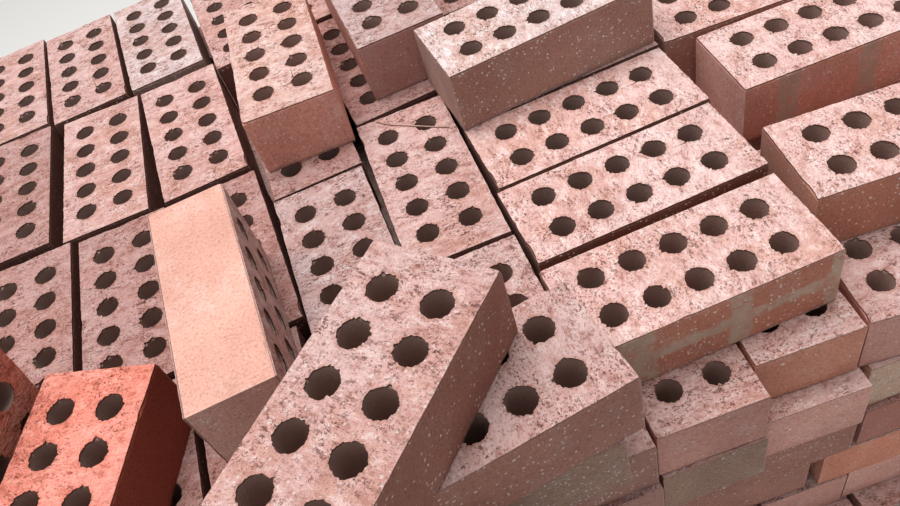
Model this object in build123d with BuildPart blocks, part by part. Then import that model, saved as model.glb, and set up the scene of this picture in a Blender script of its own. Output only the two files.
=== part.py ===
# A pallet of perforated clay bricks, stacked by hand in nine courses and partly taken down.
# X runs along the pallet, Y across it from front to back, and Z up, in millimetres.
# The origin is the centre of the pallet's underside.
import math
import os
import random

from build123d import *

# One brick, lying on its bed
BRICK_LENGTH = 230
BRICK_WIDTH = 102
BRICK_HEIGHT = 73

# Core holes through the height of a brick, in two rows of five
HOLE_RADIUS = 12.5
HOLES_ALONG = 5
HOLES_ACROSS = 2
HOLE_STEP_ALONG = 38.7
HOLE_STEP_ACROSS = 43.8
# A faceted hole has this many flat walls and the area of the round one
FACETED_HOLE_SIDES = 6

# The lay of a course: headers have their ends to the front, stretchers run along it
COURSES = 9
HEADER_COLUMNS = 5
HEADER_ROWS = 4
HEADER_SIDE_GAP = 7
HEADER_END_GAP = 8
STRETCHER_COLUMNS = 2
STRETCHER_ROWS = 9
STRETCHER_SIDE_GAP = 3
STRETCHER_END_GAP = 18
HALVES_GAP = 7
LEFT, RIGHT = -1, 1

# The pallet: a deck of boards on three bearers, with three boards under them
PALLET_LENGTH = 1200
PALLET_WIDTH = 1000
DECK_BOARDS = 9
DECK_BOARD_WIDTH = 100
DECK_BOARD_THICKNESS = 20
BEARERS = ("front", "middle", "rear")
BEARER_WIDTH = 50
BEARER_HEIGHT = 100
BOTTOM_BOARDS = ("left", "middle", "right")
BOTTOM_BOARD_WIDTH = 120
BOTTOM_BOARD_THICKNESS = 20

# How unevenly the lower courses are laid: outwards, inwards, sideways and turned
STEP_OUT = 14
STEP_IN = 2
SIDE_SLIP = 0.9
HEADER_TURN = 0.6
STRETCHER_TURN = 0.15

# Room that the hidden bricks leave behind the outer ones, and behind the front headers,
# which have been pushed in
CORE_CLEARANCE = 15
CORE_FRONT_CLEARANCE = 48

# The top course's headers from their places in the lay: across, back and turned,
# row by row from the front, each row from the pack's left end; the first one is missing
TOP_HEADER_SLIPS = [
    [None, (5, -4, 0), (4, -4, 0), (1, -66, 0), (0, -6, -1.5)],
    [(7, 2, 0), (8, -5, 0), (9, -8, 2), (7, -71, 0), (6, -10, -2)],
    [(-17, 7, -0.5), (-8, -5, -1), (-5, -6, 2.5), (7, -77, 1), (5, -12, 3)],
    [(-24, 3, 2), (-26, -3, 3), (-28, 2, 3.5), (-22, -28, 3.5), (-21, -11, 2)],
]

# The top course's stretchers have slid forward, because their front row is gone
STRETCHER_SLIDE = -35
# Across, back and turned, for the inner column and the outer one, by row from the front
INNER_STRETCHER_SLIPS = {
    1: (-4, -4, -1), 2: (0, 2, 0), 3: (4, 2, 0), 4: (6, 2, 0),
    5: (7, 2, 0), 6: (3, 2, 0), 7: (-1, 1, 0), 8: (2, 0, 0),
}
OUTER_STRETCHER_SLIPS = {
    1: (-5, 35, -7), 3: (21, -13, -3), 4: (-2, -9, -5),
    5: (4, 2, 0), 6: (-3, 2, 0), 7: (5, 1, 0), 8: (0, 0, 0),
}

# The course under it is pushed about at the right: its front headers from the right end
# inwards, then the headers behind the outermost one, and how far the inner stretchers
# beside them have been pushed to the left
SECOND_FRONT_SLIPS = [(-16, 24, -7), (-15, 23, -9), (-18, 35, -5), (-17, 13, -4), (-14, 14, -3)]
SECOND_END_SLIPS = {1: (0, 26, 0), 2: (-3, 22, 0.5), 3: (2, 18, 0)}
SECOND_INNER_PUSH = -14.5

# Front bricks of lower courses that stand well out of line at the right, by course and
# column: the columns count from the end of their own half
FRONT_HEADER_SLIPS = {
    4: {1: (-6, 17, -4), 2: (-3, 22, -4), 3: (-2, 21, -2), 4: (-3, 14, 0)},
    5: {0: (-1, 0, 0), 1: (-6.5, 0, 0), 2: (-12, 0, 0), 3: (-17.5, 0, 0), 4: (-23, 0, 0)},
    7: {1: (-16, 21, -4), 2: (-14, 15.5, -5), 3: (-17, 10.5, -3), 4: (-15, 8, -2)},
}
FRONT_STRETCHER_SLIPS = {
    5: {0: (-30.5, 11, -5), 1: (-25, 34, -5)},
    6: {0: (2, 10, -4), 1: (13, 25, -4)},
}
# How far the stretchers behind those front ones have been pushed back
STRETCHERS_PUSHED_BACK = 20
# How far the inner stretchers of the seventh course have been pushed to the left
SEVENTH_INNER_PUSH = -14.5

# Pairs of holes that show in the second course's front headers
SECOND_FRONT_PAIRS = 2

# Headers and stretchers of the top course that lie under loose bricks, with no hole in sight
COVERED_HEADERS = {(1, 0), (2, 0), (3, 0), (3, 2)}
COVERED_STRETCHERS = {(1, 4)}

# Bricks of the top course that have one round hole as a stated interface
ROUND_HOLE_HEADERS = {(0, 1), (1, 1), (3, 1), (4, 1), (0, 2), (1, 2), (2, 2), (1, 3)}
ROUND_HOLE_STRETCHERS = {(1, 1), (1, 2), (1, 3), (0, 1)}

HEADER_STEP = BRICK_WIDTH + HEADER_SIDE_GAP
HEADER_ROW_STEP = BRICK_LENGTH + HEADER_END_GAP
STRETCHER_STEP = BRICK_LENGTH + STRETCHER_END_GAP
STRETCHER_ROW_STEP = BRICK_WIDTH + STRETCHER_SIDE_GAP
HEADERS_LENGTH = HEADER_COLUMNS * HEADER_STEP - HEADER_SIDE_GAP
STRETCHERS_LENGTH = STRETCHER_COLUMNS * STRETCHER_STEP - STRETCHER_END_GAP
PACK_LENGTH = HEADERS_LENGTH + HALVES_GAP + STRETCHERS_LENGTH
PALLET_HEIGHT = BOTTOM_BOARD_THICKNESS + BEARER_HEIGHT + DECK_BOARD_THICKNESS
PACK_TOP = PALLET_HEIGHT + COURSES * BRICK_HEIGHT

os.makedirs("parts", exist_ok=True)


def course_bottom(course):
    """Height of the underside of a course, counted from 1 at the pallet."""
    return PALLET_HEIGHT + (course - 1) * BRICK_HEIGHT


def header_place(end, column, row, slip=(0, 0, 0)):
    """Centre and turn of a header; columns count from the pack's end, rows from the front."""
    across, back, turn = slip
    x = end * (PACK_LENGTH / 2 - BRICK_WIDTH / 2 - column * HEADER_STEP)
    y = (row - (HEADER_ROWS - 1) / 2) * HEADER_ROW_STEP
    return x + across, y + back, turn


def stretcher_place(end, column, row, slip=(0, 0, 0)):
    """Centre and turn of a stretcher; columns count from the pack's end, rows from the front."""
    across, back, turn = slip
    x = end * (PACK_LENGTH / 2 - BRICK_LENGTH / 2 - column * STRETCHER_STEP)
    y = (row - (STRETCHER_ROWS - 1) / 2) * STRETCHER_ROW_STEP
    return x + across, y + back, turn + 90


def bed_plane(place, bottom):
    """Plane under a brick that lies flat: its local Y is the brick's length."""
    x, y, turn = place
    return Plane(origin=(x, y, bottom)).rotated((0, 0, turn))


def plain_bed(plane):
    """Bed of a brick whose holes are out of sight."""
    with BuildSketch(plane) as bed:
        Rectangle(BRICK_WIDTH, BRICK_LENGTH)
    return bed.sketch


def holed_bed(plane, round_hole=False, pairs=HOLES_ALONG):
    """Bed of a brick with its core holes, or with only so many pairs of them at its front.

    If asked, the middle hole of the right-hand row is round.
    """
    wall_angle = 2 * math.pi / FACETED_HOLE_SIDES
    corner_radius = HOLE_RADIUS * math.sqrt(wall_angle / math.sin(wall_angle))
    last_hole = (pairs - (HOLES_ALONG + 1) / 2) * HOLE_STEP_ALONG
    grid = GridLocations(HOLE_STEP_ACROSS, HOLE_STEP_ALONG, HOLES_ACROSS, HOLES_ALONG)
    holes = [hole for hole in grid.locations if hole.position.Y < last_hole + HOLE_RADIUS]
    with BuildSketch(plane) as bed:
        Rectangle(BRICK_WIDTH, BRICK_LENGTH)
        for hole in holes:
            is_middle = hole.position.X > 0 and abs(hole.position.Y) < HOLE_STEP_ALONG / 2
            with Locations(hole):
                if round_hole and is_middle:
                    Circle(HOLE_RADIUS, mode=Mode.SUBTRACT)
                else:
                    RegularPolygon(corner_radius, FACETED_HOLE_SIDES, mode=Mode.SUBTRACT)
    return bed.sketch


def write_node(name, part):
    """Labels a finished piece and writes its file."""
    part.label = name
    export_step(part, f"parts/{name}.step")


def unevenness(dice, turn):
    """How far one brick of a lower course steps out, slips sideways and turns."""
    return (dice.uniform(-STEP_IN, STEP_OUT), dice.uniform(-SIDE_SLIP, SIDE_SLIP),
            dice.uniform(-turn, turn))


def outer_headers(end, dice, course):
    """Places of a half's outer headers: its end column, and the front and back rows."""
    front_slips = FRONT_HEADER_SLIPS.get(course, {})
    places = []
    for column in range(HEADER_COLUMNS):
        for row in range(HEADER_ROWS):
            step, slip, turn = unevenness(dice, HEADER_TURN)
            if row == 0 and column in front_slips:
                places.append(header_place(end, column, row, front_slips[column]))
            elif column == 0:
                places.append(header_place(end, column, row, (end * step, slip, turn)))
            elif row == 0:
                places.append(header_place(end, column, row, (slip, -step, turn)))
            elif row == HEADER_ROWS - 1:
                places.append(header_place(end, column, row, (slip, step, turn)))
    return places


def outer_stretchers(end, dice, course, inner_push=0):
    """Places of a half's outer stretchers: its end column, and the front and back rows."""
    front_slips = FRONT_STRETCHER_SLIPS.get(course, {})
    pushed = STRETCHERS_PUSHED_BACK if front_slips else 0
    places = []
    for column in range(STRETCHER_COLUMNS):
        for row in range(STRETCHER_ROWS):
            step, slip, turn = unevenness(dice, STRETCHER_TURN)
            if row == 0 and column in front_slips:
                places.append(stretcher_place(end, column, row, front_slips[column]))
            elif column == 0:
                slips = (end * step, slip + pushed, turn)
                places.append(stretcher_place(end, column, row, slips))
            elif row == 0:
                slips = (slip + inner_push, -step, turn)
                places.append(stretcher_place(end, column, row, slips))
            elif row == STRETCHER_ROWS - 1:
                slips = (slip + inner_push, step + pushed, turn)
                places.append(stretcher_place(end, column, row, slips))
    return places


def make_core(course, header_end):
    """Plain blocks in place of a course's hidden bricks, one in each half."""
    left = header_end * (PACK_LENGTH / 2 - HEADER_STEP)
    right = header_end * (PACK_LENGTH / 2 - HEADERS_LENGTH)
    front = -HEADER_ROW_STEP + HEADER_END_GAP / 2 + CORE_FRONT_CLEARANCE
    back = HEADER_ROW_STEP - HEADER_END_GAP / 2 - CORE_CLEARANCE
    stretcher_x = -header_end * (PACK_LENGTH / 2 - STRETCHER_STEP - BRICK_LENGTH / 2)
    stretcher_back = (STRETCHER_ROWS / 2 - 1) * STRETCHER_ROW_STEP
    stretcher_length = 2 * stretcher_back - CORE_FRONT_CLEARANCE - CORE_CLEARANCE
    with BuildPart() as core:
        with BuildSketch(Plane.XY.offset(course_bottom(course))):
            with Locations(((left + right) / 2, (front + back) / 2)):
                Rectangle(abs(right - left) - 2 * CORE_CLEARANCE, back - front)
            with Locations((stretcher_x, stretcher_back - CORE_CLEARANCE - stretcher_length / 2)):
                Rectangle(BRICK_LENGTH - 2 * CORE_CLEARANCE, stretcher_length)
        extrude(amount=BRICK_HEIGHT)
    write_node(f"course_{course}_core", core.part)


# Pallet: deck boards across, bearers along it, and three boards underneath
for number in range(DECK_BOARDS):
    deck_step = (PALLET_LENGTH - DECK_BOARD_WIDTH) / (DECK_BOARDS - 1)
    with BuildPart() as board:
        with BuildSketch(Plane.XY.offset(PALLET_HEIGHT - DECK_BOARD_THICKNESS)):
            with Locations((number * deck_step - (PALLET_LENGTH - DECK_BOARD_WIDTH) / 2, 0)):
                Rectangle(DECK_BOARD_WIDTH, PALLET_WIDTH)
        extrude(amount=DECK_BOARD_THICKNESS)
    write_node(f"pallet_deck_board_{number + 1}", board.part)

for index, name in enumerate(BEARERS):
    with BuildPart() as bearer:
        with BuildSketch(Plane.XY.offset(BOTTOM_BOARD_THICKNESS)):
            with Locations((0, (index - 1) * (PALLET_WIDTH - BEARER_WIDTH) / 2)):
                Rectangle(PALLET_LENGTH, BEARER_WIDTH)
        extrude(amount=BEARER_HEIGHT)
    write_node(f"pallet_bearer_{name}", bearer.part)

for index, name in enumerate(BOTTOM_BOARDS):
    with BuildPart() as board:
        with BuildSketch(Plane.XY):
            with Locations(((index - 1) * (PALLET_LENGTH - BOTTOM_BOARD_WIDTH) / 2, 0)):
                Rectangle(BOTTOM_BOARD_WIDTH, PALLET_WIDTH)
        extrude(amount=BOTTOM_BOARD_THICKNESS)
    write_node(f"pallet_bottom_board_{name}", board.part)

# Lower courses: the halves change ends every two courses, which ties the pack together
for course in range(1, COURSES - 1):
    dice = random.Random(course)
    pair = (course - 1) // 2
    header_end = LEFT if pair % 2 == 0 else RIGHT
    with BuildPart() as bricks:
        inner_push = SEVENTH_INNER_PUSH if course == COURSES - 2 else 0
        places = outer_headers(header_end, dice, course)
        for place in places + outer_stretchers(-header_end, dice, course, inner_push):
            add(plain_bed(bed_plane(place, course_bottom(course))))
        extrude(amount=BRICK_HEIGHT)
    write_node(f"course_{course}_bricks", bricks.part)
    make_core(course, header_end)

# Second course from the top: its front headers stick out where the front row is gone
second = COURSES - 1
dice = random.Random(second)
back_row = HEADER_ROWS - 1
with BuildPart() as bricks:
    for column, slip in enumerate(SECOND_FRONT_SLIPS):
        plane = bed_plane(header_place(RIGHT, column, 0, slip), course_bottom(second))
        add(holed_bed(plane, pairs=SECOND_FRONT_PAIRS))
    places = [header_place(RIGHT, 0, row, slip) for row, slip in SECOND_END_SLIPS.items()]
    for column in range(1, HEADER_COLUMNS):
        step, slip, turn = unevenness(dice, HEADER_TURN)
        places.append(header_place(RIGHT, column, back_row, (slip, step, turn)))
    for place in places + outer_stretchers(LEFT, dice, second, SECOND_INNER_PUSH):
        add(plain_bed(bed_plane(place, course_bottom(second))))
    extrude(amount=BRICK_HEIGHT)
write_node(f"course_{second}_bricks", bricks.part)
make_core(second, RIGHT)

# Top course: headers on the left and stretchers on the right, every brick in sight
with BuildPart() as bricks:
    for row, slips in enumerate(TOP_HEADER_SLIPS):
        for column, slip in enumerate(slips):
            if slip is None:
                continue
            plane = bed_plane(header_place(LEFT, column, row, slip), course_bottom(COURSES))
            if (column, row) in COVERED_HEADERS:
                add(plain_bed(plane))
            else:
                add(holed_bed(plane, (column, row) in ROUND_HOLE_HEADERS))
    extrude(amount=BRICK_HEIGHT)
write_node("top_course_headers", bricks.part)

with BuildPart() as bricks:
    for column, slips in enumerate((OUTER_STRETCHER_SLIPS, INNER_STRETCHER_SLIPS)):
        for row, (across, back, turn) in slips.items():
            place = stretcher_place(RIGHT, column, row, (across, back + STRETCHER_SLIDE, turn))
            plane = bed_plane(place, course_bottom(COURSES))
            if (column, row) in COVERED_STRETCHERS:
                add(plain_bed(plane))
            else:
                add(holed_bed(plane, (column, row) in ROUND_HOLE_STRETCHERS))
    extrude(amount=BRICK_HEIGHT)
write_node("top_course_stretchers", bricks.part)

# Loose bricks thrown back on the pack, six of them flat on the top course
loose_places = {
    1: header_place(LEFT, 3, 2, (19, -36, -3.5)),
    2: header_place(LEFT, 4, 2, (42, 13, 1)),
    3: stretcher_place(RIGHT, 1, 4, (1, -34, 3.5)),
    4: stretcher_place(LEFT, 1, 0, (70, -17, 6)),
    5: header_place(LEFT, 1, 0, (-28, -18, -22)),
}
for number, place in loose_places.items():
    with BuildPart() as brick:
        extrude(holed_bed(bed_plane(place, PACK_TOP)), amount=BRICK_HEIGHT)
    write_node(f"loose_brick_{number}", brick.part)

# One more lies across the fourth of them
with BuildPart() as brick:
    x, y, turn = loose_places[4]
    crossing = bed_plane((x - 57, y - 7, -46.5), PACK_TOP + BRICK_HEIGHT)
    extrude(holed_bed(crossing), amount=BRICK_HEIGHT)
write_node("loose_brick_6", brick.part)

# One stands on its long edge, its holes facing right
with BuildPart() as brick:
    x, y, turn = header_place(LEFT, 2, 0, (13, 98, 2))
    facing = Vector(1, 0, 0).rotate(Axis.Z, turn)
    upright = Plane(origin=(x, y, PACK_TOP + BRICK_WIDTH / 2), x_dir=(0, 0, 1), z_dir=facing)
    extrude(holed_bed(upright.offset(-BRICK_HEIGHT / 2)), amount=BRICK_HEIGHT)
write_node("loose_brick_7", brick.part)

# One stands on its end in the gap of the missing corner header and leans back
with BuildPart() as brick:
    x, y, turn = header_place(LEFT, 0, 0, (9, 73.2, -24))
    up = Vector(0, 0, 1).rotate(Axis.X, -12)
    across = up.cross(Vector(1, 0, 0).rotate(Axis.Z, turn)).normalized()
    facing = across.cross(up)
    rise = (BRICK_LENGTH * up.Z + BRICK_WIDTH * abs(across.Z) + BRICK_HEIGHT * facing.Z) / 2
    origin = (x, y, course_bottom(COURSES) + rise)
    standing = Plane(origin=origin, x_dir=across, z_dir=facing)
    extrude(holed_bed(standing.offset(-BRICK_HEIGHT / 2)), amount=BRICK_HEIGHT)
write_node("loose_brick_8", brick.part)
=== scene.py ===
import math
import random

import bmesh
import bpy
import numpy as np
from mathutils import Matrix, Vector


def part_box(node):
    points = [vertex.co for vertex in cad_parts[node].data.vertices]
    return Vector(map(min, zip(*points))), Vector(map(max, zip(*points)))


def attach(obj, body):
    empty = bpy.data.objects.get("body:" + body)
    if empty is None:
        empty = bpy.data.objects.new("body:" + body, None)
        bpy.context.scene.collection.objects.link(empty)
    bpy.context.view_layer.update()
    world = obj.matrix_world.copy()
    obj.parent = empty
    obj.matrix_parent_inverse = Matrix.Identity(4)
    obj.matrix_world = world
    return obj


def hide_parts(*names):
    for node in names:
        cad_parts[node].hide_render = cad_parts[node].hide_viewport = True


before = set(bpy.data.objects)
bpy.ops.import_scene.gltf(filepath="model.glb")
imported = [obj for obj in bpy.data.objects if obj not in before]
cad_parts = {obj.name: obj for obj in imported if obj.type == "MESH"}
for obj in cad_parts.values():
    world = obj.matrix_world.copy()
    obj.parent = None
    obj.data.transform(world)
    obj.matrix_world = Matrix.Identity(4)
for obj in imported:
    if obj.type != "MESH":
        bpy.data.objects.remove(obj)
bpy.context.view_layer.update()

# The pallet is softwood: nine rough-sawn deck boards on three bearers, with three boards
# under them. The planks are grey-brown from weather, with their grain along each plank.


def feed(tree, value, socket):
    """Links an output socket to an input socket, or writes a plain value into it."""
    if isinstance(value, bpy.types.NodeSocket):
        tree.links.new(value, socket)
    else:
        socket.default_value = value


def add_node(tree, kind, inputs=None, **settings):
    """A new node: its properties are set first, then its inputs by name or index."""
    node = tree.nodes.new(kind)
    for name, value in settings.items():
        setattr(node, name, value)
    for key, value in (inputs or {}).items():
        feed(tree, value, node.inputs[key])
    return node


def math_node(tree, operation, *values, clamp=False):
    """A Math node on sockets or plain numbers; returns its output."""
    node = add_node(tree, "ShaderNodeMath", dict(enumerate(values)),
                    operation=operation, use_clamp=clamp)
    return node.outputs[0]


def times(tree, first, second):
    """The product of two sockets or numbers."""
    return math_node(tree, "MULTIPLY", first, second)


def ramp_between(tree, value, low, high):
    """Rises smoothly from 0 to 1 as the value goes from low to high."""
    node = add_node(tree, "ShaderNodeMapRange", {"Value": value, "From Min": low, "From Max": high},
                    interpolation_type="SMOOTHSTEP")
    return node.outputs["Result"]


def mix_colours(tree, factor, first, second, blend="MIX"):
    """Mixes two colours, each a socket or plain red, green and blue."""
    first, second = ((*part, 1) if isinstance(part, tuple) else part for part in (first, second))
    node = add_node(tree, "ShaderNodeMix", {"Factor": factor, 6: first, 7: second},
                    data_type="RGBA", blend_type=blend)
    return node.outputs[2]


def lay_over(tree, colour, *coats):
    """Lays coats over a colour: where each one shows, how strongly, and its own colour."""
    for mask, strength, coat in coats:
        colour = mix_colours(tree, times(tree, mask, strength), colour, coat)
    return colour


def noise(tree, place, scale, detail=3, roughness=0.5, distortion=0.0):
    """A noise texture at this place; returns its value from 0 to 1."""
    node = add_node(tree, "ShaderNodeTexNoise", {
        "Vector": place, "Scale": scale, "Detail": detail, "Roughness": roughness,
        "Distortion": distortion})
    return node.outputs["Fac"]


def bumped(tree, height, strength, distance):
    """The normals of a surface that rises with this height."""
    node = add_node(tree, "ShaderNodeBump", {
        "Height": height, "Strength": strength, "Distance": distance})
    return node.outputs["Normal"]


def new_material(name):
    """A material without nodes; returns it and its tree."""
    material = bpy.data.materials.new(name)
    material.use_nodes = True
    material.node_tree.nodes.clear()
    return material, material.node_tree


def shade(tree, inputs):
    """Ends a material with a Principled shader that has these inputs."""
    shader = add_node(tree, "ShaderNodeBsdfPrincipled", inputs)
    add_node(tree, "ShaderNodeOutputMaterial", {"Surface": shader.outputs["BSDF"]})


def paint(piece, material):
    """Gives a piece this material and no other."""
    piece.data.materials.clear()
    piece.data.materials.append(material)


def sawn_wood(name, grain_stretch):
    """Rough-sawn softwood. The stretch is small along the grain and large across it."""
    material, tree = new_material(name)
    place = add_node(tree, "ShaderNodeTexCoord").outputs["Object"]
    along = add_node(tree, "ShaderNodeMapping", {"Vector": place, "Scale": grain_stretch})
    grain = noise(tree, along.outputs["Vector"], 3.5, 6, 0.6, 0.6)
    fibre = noise(tree, along.outputs["Vector"], 22, 4, 0.7)
    weather = noise(tree, place, 3.0, 3)
    dark_wood, light_wood = (0.34, 0.225, 0.13), (0.56, 0.41, 0.26)
    dark_fibre, weathered_grey = (0.20, 0.13, 0.08), (0.37, 0.32, 0.27)
    plank = mix_colours(tree, ramp_between(tree, grain, 0.35, 0.68), dark_wood, light_wood)
    plank = lay_over(
        tree, plank,
        (ramp_between(tree, fibre, 0.5, 0.75), 0.45, dark_fibre),
        (ramp_between(tree, weather, 0.42, 0.7), 0.6, weathered_grey))
    shade(tree, {
        "Base Color": plank, "Roughness": 0.85, "Specular IOR Level": 0.3,
        "Normal": bumped(tree, math_node(tree, "ADD", fibre, grain), 0.7, 0.0015)})
    return material


wood_along_x = sawn_wood("Sawn softwood along the pallet", (1.2, 16, 16))
wood_along_y = sawn_wood("Sawn softwood across the pallet", (16, 1.2, 16))
for name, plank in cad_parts.items():
    if name.startswith("pallet"):
        paint(plank, wood_along_x if "bearer" in name else wood_along_y)

# The bricks are extruded clay, cut with a wire and fired: ten core holes each, rough beds
# with torn hole rims, smooth sides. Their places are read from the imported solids, and
# Geometry Nodes lay a finished brick in each of those places.
brick_size = Vector((0.102, 0.230, 0.073))
hole_radius = 0.0125
hole_step_across = 0.0438
hole_step_along = 0.0387
holes_across, holes_along = 2, 5
outline_cuts = 39  # an uneven edge needs a point every few millimetres
brick_variants = 6


def brick_corners(node):
    """The outermost corners of every separate solid of a CAD node."""
    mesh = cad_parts[node].data
    points = np.zeros(len(mesh.vertices) * 3)
    mesh.vertices.foreach_get("co", points)
    points = points.reshape(-1, 3)
    # Vertices in one place count as one: to a hundredth of a millimetre
    per_metre = 1e5
    keys, which = np.unique(np.round(points * per_metre).astype(int), axis=0, return_inverse=True)
    which = which.reshape(-1)
    parent = list(range(len(keys)))

    def top_of(index):
        while parent[index] != index:
            parent[index] = parent[parent[index]]
            index = parent[index]
        return index

    # Vertices of one face belong to one solid
    for polygon in mesh.polygons:
        corners = [top_of(which[v]) for v in polygon.vertices]
        for corner in corners[1:]:
            parent[corner] = corners[0]
            corners = [top_of(c) for c in corners]
    groups = {}
    for index in range(len(keys)):
        groups.setdefault(top_of(index), []).append(keys[index] / per_metre)
    # The corners are what lies farthest out in directions spread evenly over a sphere
    steps = np.arange(600)
    turns = steps * math.pi * (3 - math.sqrt(5))
    heights = 1 - 2 * (steps + 0.5) / len(steps)
    rounds = np.sqrt(1 - heights ** 2)
    directions = np.stack([rounds * np.cos(turns), rounds * np.sin(turns), heights])
    for cloud in groups.values():
        cloud = np.array(cloud)
        yield cloud[np.unique(np.argmax(cloud @ directions, axis=0))]


def brick_places(node):
    """Centre and rotation of every brick of a CAD node, from left to right."""
    length_slack = 0.0012
    places = []
    for corners in brick_corners(node):
        edges = {}
        for corner in corners[1:]:
            edge = corner - corners[0]
            for axis, length in enumerate(brick_size):
                if abs(np.linalg.norm(edge) - length) < length_slack:
                    edges[axis] = Vector(edge).normalized()
        # Headers point to the front; heights point up, or to +X where a brick is on its edge
        length_axis = edges[1] if edges[1].y < 0.5 * abs(edges[1].x) else -edges[1]
        height_axis = edges[2]
        if height_axis.z < -0.3 or (abs(height_axis.z) < 0.3 and height_axis.x < 0):
            height_axis = -height_axis
        width_axis = length_axis.cross(height_axis)
        turn = Matrix((width_axis, length_axis, height_axis)).transposed().to_quaternion()
        places.append((Vector(corners.mean(axis=0)), turn))
    return sorted(places, key=lambda place: (round(place[0].x, 4), round(place[0].y, 4)))


def new_group(name, inputs, output, kind="GeometryNodeTree"):
    """A node group with named inputs and one output; returns the tree and its inputs."""
    tree = bpy.data.node_groups.new(name, kind)
    for label, socket_type, value in inputs:
        socket = tree.interface.new_socket(label, in_out="INPUT", socket_type=socket_type)
        if value is not None:
            socket.default_value = value
    tree.interface.new_socket(output[0], in_out="OUTPUT", socket_type=output[1])
    return tree, add_node(tree, "NodeGroupInput").outputs


def vector_node(tree, operation, *values):
    """A Vector Math node on sockets or plain values; returns the output that it fills."""
    keys = (0, "Scale") if operation == "SCALE" else (0, 1)
    node = add_node(tree, "ShaderNodeVectorMath", dict(zip(keys, values)), operation=operation)
    return node.outputs["Value" if operation in ("LENGTH", "DOT_PRODUCT") else "Vector"]


def separate(tree, vector):
    """The X, Y and Z sockets of a vector."""
    return add_node(tree, "ShaderNodeSeparateXYZ", {0: vector}).outputs


def combine(tree, x, y, z):
    """A vector from three sockets or numbers."""
    return add_node(tree, "ShaderNodeCombineXYZ", {0: x, 1: y, 2: z}).outputs[0]


def wobble(tree, scale, seed, detail):
    """Noise in space for Geometry Nodes, its seed on the fourth axis. The larger the scale,
    the finer it is: at 45 it swells over a few centimetres, at 420 over a few millimetres."""
    node = add_node(tree, "ShaderNodeTexNoise", {"Scale": scale, "Detail": detail, "W": seed},
                    noise_dimensions="4D")
    return node.outputs["Fac"]


def gather(tree, kind, geometries):
    """Feeds geometries into one node in this order; returns what it makes of them."""
    node = add_node(tree, kind)
    for geometry in geometries:
        feed(tree, geometry, node.inputs["Geometry"])
    return node.outputs[0]


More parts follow.
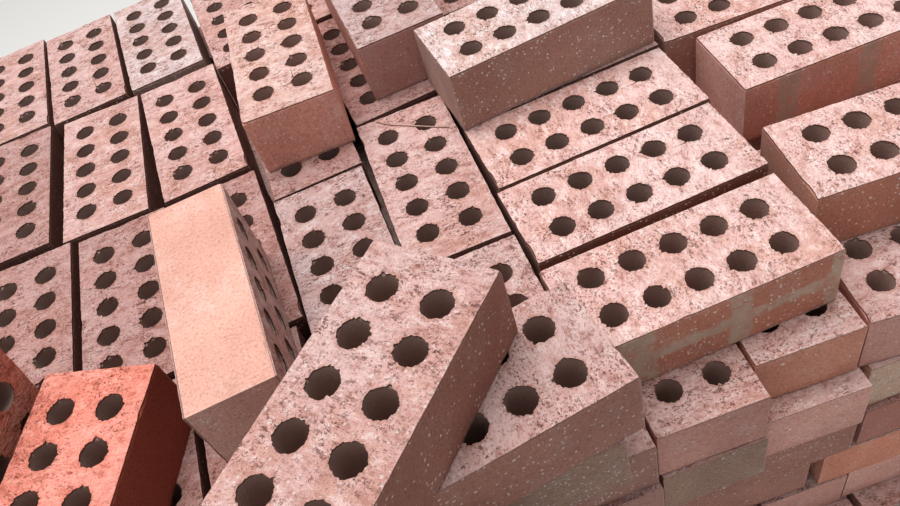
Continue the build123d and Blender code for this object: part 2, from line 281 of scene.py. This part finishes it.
def fired_brick():
    """The node group of one brick, centred on itself: width along X, length along Y."""
    tree, given = new_group("One fired brick", [
        ("Size", "NodeSocketVector", tuple(brick_size)),
        ("Hole Radius", "NodeSocketFloat", hole_radius),
        ("Hole Step Across", "NodeSocketFloat", hole_step_across),
        ("Hole Step Along", "NodeSocketFloat", hole_step_along),
        ("With Holes", "NodeSocketBool", True),
        ("Outline Cuts", "NodeSocketInt", outline_cuts),
        ("Torn Rim", "NodeSocketFloat", 0.0036),
        ("Worn Edge", "NodeSocketFloat", 0.0014),
        ("Seed", "NodeSocketFloat", 0.0)], ("Brick", "NodeSocketGeometry"))
    seed = given["Seed"]
    size = separate(tree, given["Size"])
    half = {axis: times(tree, size[axis], 0.5) for axis in "XYZ"}

    # The bed: a rectangle less its holes
    outline = add_node(tree, "GeometryNodeCurvePrimitiveQuadrilateral", {
        "Width": size["X"], "Height": size["Y"]})
    cuts = add_node(tree, "GeometryNodeSubdivideCurve", {
        "Curve": outline.outputs["Curve"], "Cuts": given["Outline Cuts"]})
    grid = add_node(tree, "GeometryNodeMeshGrid", {
        "Vertices X": holes_across, "Vertices Y": holes_along,
        "Size X": times(tree, given["Hole Step Across"], holes_across - 1),
        "Size Y": times(tree, given["Hole Step Along"], holes_along - 1)})
    circle = add_node(tree, "GeometryNodeCurvePrimitiveCircle", {
        "Resolution": 60, "Radius": given["Hole Radius"]})
    each_hole = add_node(tree, "GeometryNodeInstanceOnPoints", {
        "Points": grid.outputs["Mesh"], "Instance": circle.outputs["Curve"]})
    holes = add_node(tree, "GeometryNodeRealizeInstances", {
        "Geometry": each_hole.outputs["Instances"]})
    if_holes = add_node(tree, "GeometryNodeSwitch", {
        "Switch": given["With Holes"], "True": holes.outputs["Geometry"]}, input_type="GEOMETRY")
    loops = gather(tree, "GeometryNodeJoinGeometry", (
        cuts.outputs["Curve"], if_holes.outputs["Output"]))
    bed = add_node(tree, "GeometryNodeFillCurve", {"Curve": loops}, mode="TRIANGLES")

    # The body: the lower bed, and three steps up from it that leave a strip along each arris
    lowered = add_node(tree, "GeometryNodeTransform", {
        "Geometry": bed.outputs["Mesh"],
        "Translation": combine(tree, 0, 0, times(tree, half["Z"], -1.0))}).outputs["Geometry"]
    underside = add_node(tree, "GeometryNodeFlipFaces", {"Mesh": lowered}).outputs["Mesh"]
    rising = lowered
    arris = 0.0035
    for rise in (arris, math_node(tree, "SUBTRACT", size["Z"], 2 * arris), arris):
        rising = add_node(tree, "GeometryNodeExtrudeMesh", {
            "Mesh": rising, "Offset": combine(tree, 0, 0, 1), "Offset Scale": rise,
            "Individual": False}, mode="FACES").outputs["Mesh"]
    body = add_node(tree, "GeometryNodeMergeByDistance", {
        "Geometry": gather(tree, "GeometryNodeJoinGeometry", (underside, rising)),
        "Distance": 0.00002}).outputs["Geometry"]

    # Where a point is on the brick, kept for its clay before the edges are worn
    position = add_node(tree, "GeometryNodeInputPosition").outputs[0]
    body = add_node(tree, "GeometryNodeStoreNamedAttribute", {
        "Geometry": body, "Name": "on_brick", "Value": position},
        data_type="FLOAT_VECTOR", domain="POINT").outputs["Geometry"]
    place = separate(tree, position)
    face_slack = 0.0002
    on_face, side = {}, {}
    for axis in "XYZ":
        on_face[axis] = math_node(tree, "GREATER_THAN", math_node(tree, "ABSOLUTE", place[axis]),
                                  math_node(tree, "SUBTRACT", half[axis], face_slack))
        side[axis] = times(tree, math_node(tree, "SIGN", place[axis]), on_face[axis])
    on_bed = on_face["Z"]
    on_skin = math_node(tree, "MAXIMUM", on_face["X"], on_face["Y"])
    in_bore = math_node(tree, "SUBTRACT", 1.0, on_skin)

    # The arrises are worn: the beds' outlines step in, unevenly, with a few deeper chips
    wear = times(tree, wobble(tree, 170, seed, 3), 1.1)
    chips = ramp_between(tree, wobble(tree, 28, seed, 2), 0.60, 0.72)
    inset = times(tree, math_node(tree, "ADD", wear, chips), given["Worn Edge"])
    inset = times(tree, inset, math_node(tree, "MULTIPLY_ADD", on_bed, 0.75, 0.5))
    inward = vector_node(tree, "SCALE", combine(tree, side["X"], side["Y"], 0),
                         times(tree, inset, -1.0))
    sink = vector_node(tree, "SCALE", combine(tree, 0, 0, side["Z"]),
                       times(tree, times(tree, inset, on_skin), -0.35))

    # The wire tears the hole rims outwards, mostly in one direction; the bores stay near round
    along_step = given["Hole Step Along"]
    centre_x = times(tree, math_node(tree, "SIGN", place["X"]),
                     times(tree, given["Hole Step Across"], 0.5))
    centre_y = times(tree, math_node(
        tree, "ROUND", math_node(tree, "DIVIDE", place["Y"], along_step)), along_step)
    outwards = vector_node(tree, "NORMALIZE", vector_node(
        tree, "SUBTRACT", combine(tree, place["X"], place["Y"], 0),
        combine(tree, centre_x, centre_y, 0)))
    wire_pull = (0.5, -0.85, 0)
    dragged = math_node(tree, "MULTIPLY_ADD", vector_node(
        tree, "DOT_PRODUCT", outwards, wire_pull), 0.4, 0.6)
    torn = times(tree, ramp_between(tree, wobble(tree, 270, seed, 4), 0.50, 0.74), dragged)
    burr = ramp_between(tree, wobble(tree, 260, seed, 4), 0.40, 0.20)
    torn = math_node(tree, "SUBTRACT", torn, math_node(tree, "MULTIPLY_ADD", burr, 0.8, 0.18))
    nibbled = math_node(tree, "SUBTRACT", wobble(tree, 420, seed, 2), 0.5)
    torn = math_node(tree, "ADD", torn, nibbled)
    rim = times(tree, times(tree, torn, on_bed), given["Torn Rim"])
    bore = times(tree, math_node(tree, "SUBTRACT", wobble(tree, 45, seed, 1), 0.5), 0.0022)
    tear = vector_node(tree, "SCALE", outwards,
                       times(tree, math_node(tree, "ADD", rim, bore), in_bore))
    shift = vector_node(tree, "ADD", vector_node(tree, "ADD", inward, sink), tear)
    worn = add_node(tree, "GeometryNodeSetPosition", {"Geometry": body, "Offset": shift})

    # Only edges under this angle are shaded smooth, so arrises and rims stay crisp
    angle = add_node(tree, "GeometryNodeInputMeshEdgeAngle").outputs["Unsigned Angle"]
    flat = add_node(tree, "FunctionNodeCompare", {0: angle, 1: math.radians(32)},
                    data_type="FLOAT", operation="LESS_THAN")
    smooth = add_node(tree, "GeometryNodeSetShadeSmooth", {
        "Geometry": worn.outputs["Geometry"], "Shade Smooth": flat.outputs["Result"]},
        domain="EDGE")
    add_node(tree, "NodeGroupOutput", {"Brick": smooth.outputs["Geometry"]})
    return tree


def named(tree, name, data_type):
    """A named attribute of the points, as a socket."""
    return add_node(tree, "GeometryNodeInputNamedAttribute", {"Name": name},
                    data_type=data_type).outputs["Attribute"]


def brick_layer(brick_tree):
    """The node group that lays one of several differently worn bricks at every point."""
    tree, given = new_group("A layer of fired bricks", [
        ("Places", "NodeSocketGeometry", None),
        ("With Holes", "NodeSocketBool", True),
        ("Outline Cuts", "NodeSocketInt", outline_cuts),
        ("Seed", "NodeSocketFloat", 0.0),
        ("Clay", "NodeSocketMaterial", None),
        ("Mortared Clay", "NodeSocketMaterial", None)], ("Bricks", "NodeSocketGeometry"))
    kiln = gather(tree, "GeometryNodeGeometryToInstance", (
        add_node(tree, "GeometryNodeGroup", {
            "With Holes": given["With Holes"], "Outline Cuts": given["Outline Cuts"],
            "Seed": math_node(tree, "ADD", given["Seed"], variant * 7.3)},
            node_tree=brick_tree).outputs["Brick"]
        for variant in range(brick_variants)))
    laid = add_node(tree, "GeometryNodeInstanceOnPoints", {
        "Points": given["Places"], "Instance": kiln, "Pick Instance": True,
        "Instance Index": named(tree, "variant", "INT"),
        "Rotation": named(tree, "turn", "QUATERNION")})
    bricks = add_node(tree, "GeometryNodeRealizeInstances", {
        "Geometry": laid.outputs["Instances"]}).outputs["Geometry"]
    mortared = add_node(tree, "FunctionNodeCompare", {0: named(tree, "mortar", "FLOAT"), 1: 0.5},
                        data_type="FLOAT", operation="GREATER_THAN").outputs["Result"]
    for label, chosen in (("Clay", True), ("Mortared Clay", mortared)):
        bricks = add_node(tree, "GeometryNodeSetMaterial", {
            "Geometry": bricks, "Material": given[label], "Selection": chosen}).outputs["Geometry"]
    add_node(tree, "NodeGroupOutput", {"Bricks": bricks})
    return tree


layer_tree = brick_layer(fired_brick())

# Fired clay: salmon wire-cut beds full of pits and drag marks, red-brown pressed sides with
# white specks, darker bores, paler worn edges and rims. A brick's own tone tints them all.


def attribute(tree, name, output):
    """A mesh attribute in a material."""
    return add_node(tree, "ShaderNodeAttribute", attribute_name=name).outputs[output]


def opposite(tree, mask):
    """1 less a mask."""
    return math_node(tree, "SUBTRACT", 1.0, mask)


def worn_edges():
    """The node group that finds a brick's edges. How deep a point lies under the second
    nearest pair of faces tells how far it is from an edge."""
    tree, given = new_group("Worn edges", [
        ("On Brick", "NodeSocketVector", None),
        ("Size", "NodeSocketVector", tuple(brick_size)),
        ("Width", "NodeSocketFloat", 0.0022)], ("Mask", "NodeSocketFloat"), "ShaderNodeTree")
    depth = separate(tree, vector_node(
        tree, "SUBTRACT", vector_node(tree, "SCALE", given["Size"], 0.5),
        vector_node(tree, "ABSOLUTE", given["On Brick"])))
    lowest, highest, total = (
        math_node(tree, operation, math_node(tree, operation, depth["X"], depth["Y"]), depth["Z"])
        for operation in ("MINIMUM", "MAXIMUM", "ADD"))
    middle = math_node(tree, "SUBTRACT", math_node(tree, "SUBTRACT", total, lowest), highest)
    ragged = times(tree, noise(tree, given["On Brick"], 160, 3), 1.6)
    reach = times(tree, given["Width"], ragged)
    mask = math_node(tree, "SUBTRACT", 1.0, math_node(tree, "DIVIDE", middle, reach), clamp=True)
    add_node(tree, "NodeGroupOutput", {"Mask": mask})
    return tree


def lime_specks(tree, place, lime, patches, grain):
    """White specks of three sizes, in flocks and more of them where there is more lime."""
    mask = 0.0
    for scale, share, widest in ((250, 0.46, 0.34), (120, 0.72, 0.18), (50, 0.85, 0.10)):
        cells = add_node(tree, "ShaderNodeTexVoronoi", {"Vector": place, "Scale": scale},
                         feature="F1")
        draw = add_node(tree, "ShaderNodeSeparateColor", {0: cells.outputs["Color"]}).outputs
        flock = times(tree, ramp_between(tree, patches, 0.62, 0.38), 0.25)
        chosen = math_node(tree, "GREATER_THAN", math_node(tree, "ADD", draw[0], lime),
                           math_node(tree, "ADD", flock, share))
        reach = times(tree, times(tree, draw[1], widest * 1.8), grain)
        speck = math_node(tree, "GREATER_THAN", reach, cells.outputs["Distance"])
        mask = math_node(tree, "MAXIMUM", mask, times(tree, chosen, speck))
    return mask


def old_mortar(tree, place, local, joint, is_bed):
    """Where mortar sticks to the faces: along their middle where there was a joint, and in
    upright bands across them."""
    waver = times(tree, math_node(tree, "SUBTRACT", noise(tree, place, 60, 3), 0.5), 0.012)
    band_y = math_node(tree, "ADD", local["Y"], waver)
    band_z = math_node(tree, "ABSOLUTE", math_node(tree, "ADD", local["Z"], waver))
    mortar = times(tree, opposite(tree, ramp_between(tree, band_z, 0.005, 0.009)), joint)
    no_joint = opposite(tree, joint)
    for where, half_width, wanted in ((0.022, 0.008, 1.0), (0.110, 0.005, joint),
                                      (-0.072, 0.014, joint), (-0.066, 0.009, no_joint)):
        off = math_node(tree, "ABSOLUTE", math_node(tree, "SUBTRACT", band_y, where))
        upright = opposite(tree, ramp_between(tree, off, half_width, half_width + 0.004))
        mortar = math_node(tree, "MAXIMUM", mortar, times(tree, upright, wanted))
    mortar = times(tree, mortar, opposite(tree, is_bed))
    return times(tree, mortar, ramp_between(tree, noise(tree, place, 90, 5, 0.75), 0.32, 0.54))


def fired_clay(name, mortar_bands=False, hidden=False):
    """The clay of one brick, with old mortar on its long faces, or of the hidden middle."""
    material, tree = new_material(name)
    if hidden:
        on_brick = add_node(tree, "ShaderNodeTexCoord").outputs["Object"]
    else:
        on_brick = attribute(tree, "on_brick", "Vector")
    dice = attribute(tree, "dice", "Fac")
    own_place = vector_node(tree, "ADD", on_brick, combine(
        tree, dice, times(tree, dice, 3.7), times(tree, dice, 7.1)))
    local = separate(tree, on_brick)
    half_length, half_height = brick_size.y / 2, brick_size.z / 2
    is_bed = ramp_between(tree, math_node(tree, "ABSOLUTE", local["Z"]),
                          half_height - 0.0016, half_height - 0.0004)
    is_end = ramp_between(tree, math_node(tree, "ABSOLUTE", local["Y"]),
                          half_length - 0.0008, half_length - 0.0003)

    # How far a point is from the nearest hole's wall, outside it
    hole_y = times(tree, math_node(
        tree, "ROUND", math_node(tree, "DIVIDE", local["Y"], hole_step_along)), hole_step_along)
    last_hole_y = (holes_along - 1) / 2 * hole_step_along
    hole_y = math_node(tree, "MAXIMUM", math_node(tree, "MINIMUM", hole_y, last_hole_y),
                       -last_hole_y)
    off_x = math_node(tree, "SUBTRACT", math_node(tree, "ABSOLUTE", local["X"]),
                      hole_step_across / 2)
    off_y = math_node(tree, "SUBTRACT", local["Y"], hole_y)
    from_hole = math_node(tree, "SUBTRACT", vector_node(
        tree, "LENGTH", combine(tree, off_x, off_y, 0)), hole_radius)
    in_hole = opposite(tree, ramp_between(tree, from_hole, 0.0, 0.0006))
    in_hole = times(tree, in_hole, opposite(tree, is_bed))
    at_rim = opposite(tree, ramp_between(tree, from_hole, 0.0004, 0.0035))

    # The wire drags streaks over the bed, slightly bowed, and tears grit and crumbs out of it
    bow = times(tree, noise(tree, own_place, 8, 1), 0.05)
    dragged_place = vector_node(
        tree, "ADD", vector_node(tree, "MULTIPLY", own_place, (1.0, 1.7, 1.0)),
        combine(tree, 0, bow, 0))
    clouds = noise(tree, own_place, 10, 2, 0.6)
    patches = noise(tree, own_place, 34, 3, 0.65)
    streaks = noise(tree, dragged_place, 60, 4, 0.75)
    coarse = noise(tree, dragged_place, 170, 4, 0.7)
    grain = noise(tree, own_place, 440, 2, 0.7)
    crowd = ramp_between(tree, patches, 0.38, 0.64)
    tears = times(tree, ramp_between(tree, coarse, 0.42, 0.33), crowd)
    pits = times(tree, ramp_between(tree, grain, 0.43, 0.35),
                 math_node(tree, "MULTIPLY_ADD", crowd, 0.75, 0.25))
    crumbs = times(tree, ramp_between(tree, coarse, 0.58, 0.68), crowd)
    rosy_bed, pale_bed = (0.69, 0.390, 0.325), (0.78, 0.530, 0.485)
    bed = lay_over(
        tree, mix_colours(tree, ramp_between(tree, clouds, 0.32, 0.68), rosy_bed, pale_bed),
        (ramp_between(tree, patches, 0.50, 0.68), 0.30, (0.62, 0.305, 0.235)),  # red patches
        (ramp_between(tree, streaks, 0.50, 0.64), 0.70, (0.90, 0.685, 0.625)),  # pale streaks
        (ramp_between(tree, streaks, 0.47, 0.36), 0.75, (0.48, 0.235, 0.185)),  # dark streaks
        (pits, 0.85, (0.34, 0.105, 0.070)),
        (tears, 0.85, (0.27, 0.085, 0.060)),
        (crumbs, 0.65, (0.95, 0.77, 0.71)),
        (at_rim, ramp_between(tree, coarse, 0.42, 0.58), (0.60, 0.33, 0.26)))

    # The sides are pressed smooth in the die; the cut ends are greyer
    dark_side, light_side = (0.39, 0.180, 0.132), (0.49, 0.238, 0.176)
    side = lay_over(
        tree, mix_colours(tree, ramp_between(tree, clouds, 0.3, 0.7), dark_side, light_side),
        (ramp_between(tree, patches, 0.48, 0.72), 0.40, (0.48, 0.31, 0.26)),  # greyish patches
        (ramp_between(tree, coarse, 0.46, 0.34), 0.35, (0.25, 0.10, 0.07)),  # dark blotches
        (ramp_between(tree, grain, 0.47, 0.36), 0.40, (0.20, 0.075, 0.050)),  # dark grit
        (ramp_between(tree, grain, 0.58, 0.70), 0.30, (0.66, 0.42, 0.34)))  # pale grit
    greyer = mix_colours(tree, 1.0, side, (0.94, 1.04, 1.10), "MULTIPLY")
    side = mix_colours(tree, is_end, side, greyer)
    # The skin multiplies the sides: besides each brick's own colour, it carries painted shade on
    # top-course sides that face the gaps, and painted light on some lit sides.
    if not hidden:
        side = mix_colours(tree, 1.0, side, attribute(tree, "skin", "Color"), "MULTIPLY")

    # Both together, with worn edges and lime, most of it on the sides
    edges = add_node(tree, "ShaderNodeGroup", {"On Brick": on_brick}, node_tree=worn_edges_tree)
    lime = math_node(tree, "MULTIPLY_ADD", is_bed, -0.06, attribute(tree, "lime", "Fac"))
    lime = math_node(tree, "MAXIMUM", lime, math_node(tree, "MULTIPLY_ADD", is_end, 1.15, -1.0))
    specks = lime_specks(tree, own_place, lime, patches, grain)
    clay = lay_over(
        tree, mix_colours(tree, is_bed, side, bed),
        (edges.outputs["Mask"], 0.35, (0.74, 0.47, 0.39)),
        (specks, 0.75, (0.84, 0.74, 0.68)))
    if not hidden:
        clay = mix_colours(tree, 1.0, clay, attribute(tree, "tone", "Color"), "MULTIPLY")
    if mortar_bands:
        mortar = old_mortar(tree, own_place, local, attribute(tree, "joint", "Fac"), is_bed)
        mortar_grey = mix_colours(tree, patches, (0.34, 0.235, 0.175), (0.58, 0.45, 0.36))
        clay = lay_over(tree, clay, (mortar, 0.85, mortar_grey))
    clay = lay_over(tree, clay, (in_hole, 0.85, (0.385, 0.262, 0.225)))

    relief = times(tree, grain, 0.5)
    for part, height in ((streaks, 1.6), (coarse, 1.8), (pits, -0.35), (tears, -0.8)):
        relief = math_node(tree, "MULTIPLY_ADD", part, height, relief)
    relief = math_node(tree, "ADD", times(tree, relief, is_bed), times(tree, grain, 0.35))
    shade(tree, {
        "Base Color": clay, "Specular IOR Level": 0.25,
        "Roughness": math_node(tree, "MULTIPLY_ADD", is_bed, 0.18, 0.76),
        "Normal": bumped(tree, relief, 1.0, 0.0018)})
    return material


worn_edges_tree = worn_edges()
clay = fired_clay("Fired clay")
mortared_clay = fired_clay("Fired clay with old mortar", mortar_bands=True)
hidden_clay = fired_clay("Fired clay of the hidden bricks", hidden=True)

# A brick's tone tints all of its clay, and its skin tints the pressed sides once more. Bricks
# that are in sight have theirs by where they lie, the others at random from a fixed seed.
# The skin that darkens the sides of most top-course bricks is painted shade, where those
# sides face the gaps between the bricks.
tones = {
    "salmon": (1.00, 1.00, 1.03), "blush": (0.87, 0.85, 0.84), "rosy": (0.80, 0.765, 0.785),
    "dusky": (0.60, 0.52, 0.525), "mauve": (0.72, 0.75, 0.80), "ash": (0.84, 0.96, 1.04),
    "chalk": (0.98, 1.16, 1.25), "brown": (0.62, 0.50, 0.48), "orange": (1.10, 0.60, 0.52),
    "dark": (0.80, 0.41, 0.32)}
# The light skin is painted light: it brightens the pressed sides of some bricks as if more light
# fell on them.
skins = {
    "plain": (1.00, 1.00, 1.00), "soot": (0.52, 0.46, 0.45), "orange": (0.53, 0.43, 0.38),
    "peach": (1.63, 1.90, 1.98), "light": (1.50, 1.45, 1.48), "fair": (1.90, 1.80, 1.85),
    "russet": (1.14, 0.98, 0.88), "umber": (0.92, 0.84, 0.82), "moss": (0.93, 1.10, 1.03),
    "straw": (1.40, 1.80, 1.65), "amber": (1.35, 1.10, 0.95)}


def add_object(name, data):
    """A new object of this data in the scene, at the origin."""
    added = bpy.data.objects.new(name, data)
    bpy.context.scene.collection.objects.link(added)
    return added


def finished_mesh(source):
    """The mesh that an object has with its modifiers and its bevel worked in."""
    depsgraph = bpy.context.evaluated_depsgraph_get()
    return bpy.data.meshes.new_from_object(source.evaluated_get(depsgraph), depsgraph=depsgraph)


def lay_bricks(node, with_holes, seed, known=()):
    """One joined piece of finished bricks in place of a CAD node's solids. known lists the
    bricks that are seen: near which x and y, tone, skin, lime specks, mortar and its joint."""
    near = 0.04
    places = brick_places(node)
    dice = random.Random(seed)
    mesh = bpy.data.meshes.new(node + "_places")
    mesh.from_pydata([tuple(centre) for centre, turn in places], [], [])
    marks = mesh.attributes
    for name, kind in (("turn", "QUATERNION"), ("variant", "INT"), ("tone", "FLOAT_COLOR"),
                       ("skin", "FLOAT_COLOR"), ("dice", "FLOAT"), ("lime", "FLOAT"),
                       ("mortar", "FLOAT"), ("joint", "FLOAT")):
        marks.new(name, kind, "POINT")
    for index, (centre, turn) in enumerate(places):
        tone = dice.choice(("salmon", "rosy", "rosy", "dusky", "brown"))
        skin = dice.choice(("plain", "plain", "light", "russet"))
        amounts = ()
        for x, y, known_tone, known_skin, *known_amounts in known:
            if math.hypot(centre.x - x, centre.y - y) < near:
                tone, skin, amounts = known_tone, known_skin, known_amounts
        shade_of_tone = dice.uniform(0.96, 1.04)
        marks["turn"].data[index].value = turn
        marks["variant"].data[index].value = dice.randrange(brick_variants)
        marks["tone"].data[index].color = (*(shade_of_tone * part for part in tones[tone]), 1)
        marks["skin"].data[index].color = (*skins[skin], 1)
        marks["dice"].data[index].value = dice.uniform(0.1, 9.0)
        for name, amount in zip(("lime", "mortar", "joint"), amounts):
            marks[name].data[index].value = amount
    bricks = add_object(node + "_fired", mesh)
    modifier = bricks.modifiers.new("Bricks", "NODES")
    modifier.node_group = layer_tree
    settings = {"With Holes": with_holes, "Outline Cuts": outline_cuts if with_holes else 3,
                "Seed": float(seed), "Clay": clay, "Mortared Clay": mortared_clay}
    for item in layer_tree.interface.items_tree:
        if item.name in settings:
            modifier[item.identifier] = settings[item.name]
    finished = finished_mesh(bricks)
    bricks.modifiers.remove(modifier)
    bricks.data = finished
    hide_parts(node)
    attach(bricks, "root")


# The nine courses from the pallet up. Only course 8 and the top course have their core holes
# in sight, and the blocks that fill the middle of the lower eight are never seen.
for course in range(1, 8):
    lay_bricks(f"course_{course}_bricks", False, course, {
        5: [(0.124, -0.386, "rosy", "plain"), (0.366, -0.409, "salmon", "amber")],
        6: [(0.162, -0.395, "rosy", "plain", 0.03), (0.398, -0.410, "dusky", "light", 0.03)],
        7: [(0.117, -0.347, "rosy", "moss", 0.02), (0.229, -0.342, "salmon", "light", 0.10),
            (0.336, -0.336, "salmon", "straw")]}.get(course, ()))
lay_bricks("course_8_bricks", True, 8, [
    (0.011, -0.343, "rosy", "plain"), (0.117, -0.344, "rosy", "light"),
    (0.225, -0.322, "salmon", "amber", 0.10), (0.337, -0.334, "rosy", "light", 0.12),
    (0.445, -0.333, "rosy", "light", 0.10)])
# Most of these headers get painted shade on their sides, where they face the gaps between them.
lay_bricks("top_course_headers", True, 9, [
    (-0.484, 0.358, "rosy", "soot"), (-0.380, 0.354, "rosy", "soot"),
    (-0.271, 0.359, "ash", "plain", 0.08), (-0.159, 0.329, "rosy", "soot"),
    (-0.045, 0.346, "rosy", "soot"), (-0.476, 0.126, "dusky", "soot"),
    (-0.359, 0.114, "rosy", "soot"), (-0.246, 0.114, "rosy", "soot", 0.08),
    (-0.127, 0.042, "dusky", "soot"), (-0.019, 0.106, "dusky", "soot"),
    (-0.454, -0.118, "dusky", "soot"), (-0.344, -0.124, "dusky", "soot"),
    (-0.223, -0.127, "dusky", "soot"), (-0.125, -0.190, "mauve", "soot", 0.06),
    (-0.018, -0.130, "rosy", "soot"), (-0.024, -0.358, "rosy", "moss", 0.02),
    (-0.133, -0.423, "dusky", "soot"), (-0.239, -0.361, "dusky", "soot"),
    (-0.347, -0.361, "dusky", "soot")])
# Three of these stretchers get the same painted shade on their sides, where they face the gaps.
lay_bricks("top_course_stretchers", True, 10, [
    (0.144, -0.354, "salmon", "russet", 0.0, 1.0, 1.0), (0.146, -0.243, "salmon", "soot"),
    (0.152, -0.139, "salmon", "soot"), (0.154, -0.033, "rosy", "soot"),
    (0.390, -0.317, "salmon", "russet"), (0.420, -0.150, "salmon", "light", 0.12, 1.0, 0.0),
    (0.395, -0.043, "salmon", "plain")])
for name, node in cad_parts.items():
    if name.endswith("_core"):
        paint(node, hidden_clay)

# Loose bricks have been thrown back on the pack: most lie flat, one lies across another,
# one is on its long edge and one stands on its end in the missing corner.
loose_looks = (
    ("blush", "fair", 0.04), ("mauve", "light"), ("chalk", "plain", 0.14),
    ("rosy", "plain", 0.08), ("orange", "orange", -0.4), ("rosy", "umber", 0.10),
    ("rosy", "peach", -0.30), ("dark", "plain"))
for number, looks in enumerate(loose_looks, 1):
    name = f"loose_brick_{number}"
    low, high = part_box(name)
    middle = ((low[0] + high[0]) / 2, (low[1] + high[1]) / 2)
    lay_bricks(name, True, 20 + number, [(*middle, *looks)])

# A dry stalk has blown onto the top course. It lies on one header, over a core hole near its
# end, and is a round sweep along a slightly bent line.
stalk_radius = 0.0007
stalk_height = 0.7980  # its middle, just clear of the top course
stalk_points = ((-0.042, -0.018), (-0.031, -0.032), (-0.019, -0.041), (-0.006, -0.051),
                (0.010, -0.064), (0.026, -0.075))
stalk_line = bpy.data.curves.new("dry_stalk", "CURVE")
stalk_line.dimensions = "3D"
stalk_line.bevel_depth = stalk_radius
stalk_line.bevel_resolution = 1
stalk_line.use_fill_caps = True
spline = stalk_line.splines.new("NURBS")
spline.points.add(len(stalk_points) - 1)
for point, (x, y) in zip(spline.points, stalk_points):
    point.co = (x, y, stalk_height, 1)
spline.order_u = 3
spline.use_endpoint_u = True
bent_stalk = add_object("dry_stalk_line", stalk_line)
stalk_mesh = finished_mesh(bent_stalk)
bpy.data.objects.remove(bent_stalk)
shell = bmesh.new()
shell.from_mesh(stalk_mesh)
bmesh.ops.remove_doubles(shell, verts=shell.verts, dist=0.00001)
bmesh.ops.recalc_face_normals(shell, faces=shell.faces)
shell.to_mesh(stalk_mesh)
shell.free()
stalk = add_object("dry_stalk", stalk_mesh)
straw, straw_tree = new_material("Dry straw")
straw_place = add_node(straw_tree, "ShaderNodeTexCoord").outputs["Object"]
straw_colour = mix_colours(straw_tree, noise(straw_tree, straw_place, 150, 3),
                           (0.20, 0.09, 0.06), (0.62, 0.42, 0.32))
shade(straw_tree, {"Base Color": straw_colour, "Roughness": 0.7})
paint(stalk, straw)
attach(stalk, "root")

# The pack stands on a plain pale floor in soft studio light, seen as in the photograph:
# from above its front, close by, with the camera turned on its own axis.
floor_mesh = bpy.data.meshes.new("floor")
floor_mesh.from_pydata([(-30, -30, 0), (30, -30, 0), (30, 30, 0), (-30, 30, 0)], [], [(0, 1, 2, 3)])
floor = add_object("floor", floor_mesh)
floor_material, floor_tree = new_material("Pale floor")
shade(floor_tree, {"Base Color": (0.72, 0.71, 0.69, 1), "Roughness": 0.9})
paint(floor, floor_material)

world = bpy.data.worlds.new("Studio")
world.use_nodes = True
sky = world.node_tree.nodes["Background"].inputs
sky["Color"].default_value = (0.98, 0.97, 0.96, 1)
sky["Strength"].default_value = 0.36
bpy.context.scene.world = world


def soft_light(name, place, size, watts):
    """A square area light that faces the upper middle of the pack."""
    light = bpy.data.lights.new(name, "AREA")
    light.size = size
    light.energy = watts
    upper_middle = Vector((0, 0, 0.6))
    aim = upper_middle - Vector(place)
    turn = aim.to_track_quat("-Z", "Y").to_matrix().to_4x4()
    add_object(name, light).matrix_world = Matrix.Translation(place) @ turn


soft_light("Soft light from above", (-0.5, 0.6, 4.4), 3.0, 225)
soft_light("Soft light from the front", (-2.0, -4.0, 3.0), 3.0, 14)

# Fitted to the corners and core holes of 25 bricks in the photograph
camera = bpy.data.cameras.new("Camera")
camera.sensor_fit = "HORIZONTAL"
camera.sensor_width = 36
camera.lens = 32.14
viewpoint = add_object("Camera", camera)
right = Vector((0.9164, -0.3285, -0.2287)).normalized()
down = Vector((-0.397, -0.671, -0.626)).normalized()
forward = right.cross(down).normalized()
turned = Matrix((right, -down, -forward)).transposed().to_4x4()
viewpoint.matrix_world = Matrix.Translation((-0.0713, -0.7355, 1.3526)) @ turned
bpy.context.scene.camera = viewpoint
bpy.context.scene.view_settings.view_transform = "Standard"
